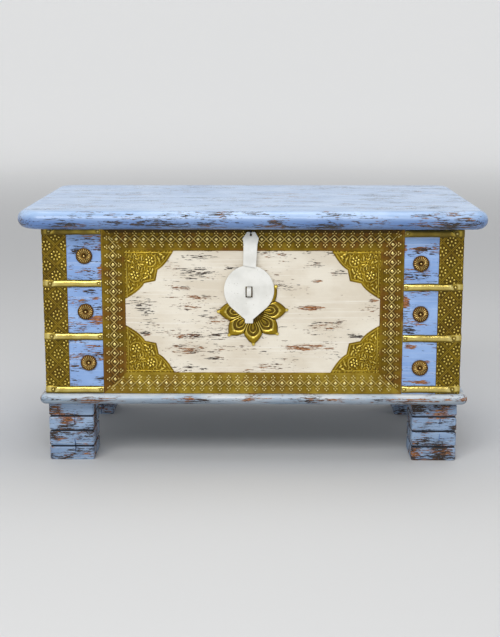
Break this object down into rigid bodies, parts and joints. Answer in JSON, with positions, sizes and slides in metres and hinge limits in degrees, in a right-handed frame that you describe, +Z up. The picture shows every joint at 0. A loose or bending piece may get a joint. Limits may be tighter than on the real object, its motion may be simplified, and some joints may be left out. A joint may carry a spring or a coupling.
{
  "type": "wooden storage chest",
  "caption": "Low painted wooden chest on block feet, with a bullnose lid hinged at the back, embossed brass trim and a hasp that closes over a staple.",
  "frame": {"origin": "on the floor, under the middle of the closed lid, which is the middle of the whole chest seen from above", "axes": "+X along the chest to the right of a person facing its front, +Y to the back, +Z up"},
  "size_m": [0.795, 0.498, 0.4495],
  "materials": {
    "blue_painted_wood": "distressed blue paint over brown wood, satin",
    "front_painted_wood": "distressed off-white field with blue ends over brown wood, satin",
    "lid_painted_wood": "worn pale blue paint over brown wood, semi-gloss",
    "raw_wood": "bare brown wood, matt",
    "embossed_brass": "thin embossed sheet with dark patina in the hollows",
    "half_round_brass": "polished half round, darker at its edges",
    "rosette_brass": "coppery brass with dark patina",
    "white_painted_iron": "brushed-on white paint, satin",
    "hinge_steel": "plain steel, dull"
  },
  "bodies": {
    "case": {"front_board": "front_painted_wood", "back_board": "blue_painted_wood", "left_end_board": "blue_painted_wood", "right_end_board": "blue_painted_wood", "base_board_front": "blue_painted_wood", "base_board_middle": "blue_painted_wood", "base_board_back": "blue_painted_wood", "front_left_foot": "blue_painted_wood", "front_right_foot": "blue_painted_wood", "back_left_foot": "blue_painted_wood", "back_right_foot": "blue_painted_wood", "border_top": "embossed_brass", "border_bottom": "embossed_brass", "border_left": "embossed_brass", "border_right": "embossed_brass", "spandrel_lower_left": "embossed_brass", "spandrel_lower_right": "embossed_brass", "spandrel_upper_right": "embossed_brass", "spandrel_upper_left": "embossed_brass", "lotus_ornament": "embossed_brass", "left_corner_strip": "embossed_brass", "right_corner_strip": "embossed_brass", "left_band_1": "half_round_brass", "left_band_2": "half_round_brass", "left_band_3": "half_round_brass", "left_band_4": "half_round_brass", "left_rosette_1": "rosette_brass", "left_rosette_2": "rosette_brass", "left_rosette_3": "rosette_brass", "right_band_1": "half_round_brass", "right_band_2": "half_round_brass", "right_band_3": "half_round_brass", "right_band_4": "half_round_brass", "right_rosette_1": "rosette_brass", "right_rosette_2": "rosette_brass", "right_rosette_3": "rosette_brass", "staple": "white_painted_iron", "left_hinge_case_leaf": "hinge_steel", "left_hinge_pin": "hinge_steel", "right_hinge_case_leaf": "hinge_steel", "right_hinge_pin": "hinge_steel"},
    "lid": {"lid_board_front": "lid_painted_wood", "lid_board_middle": "lid_painted_wood", "lid_board_back": "lid_painted_wood", "lid_batten_left": "raw_wood", "lid_batten_right": "raw_wood", "hasp_eye": "white_painted_iron", "left_hinge_lid_leaf": "hinge_steel", "right_hinge_lid_leaf": "hinge_steel"},
    "hasp": {"hasp_strap": "white_painted_iron", "hasp_plate": "white_painted_iron"}
  },
  "joints": [
    {"name": "lid_hinge", "type": "hinge", "parent": "case", "child": "lid", "pos_m": [0.0015, 0.2162, 0.4146], "axis": [-1, 0, 0], "range_deg": [0, 95]},
    {"name": "hasp_swing", "type": "hinge", "parent": "lid", "child": "hasp", "pos_m": [-0.0013, -0.2087, 0.4094], "axis": [-1, 0, 0], "range_deg": [0, 100]}
  ]
}
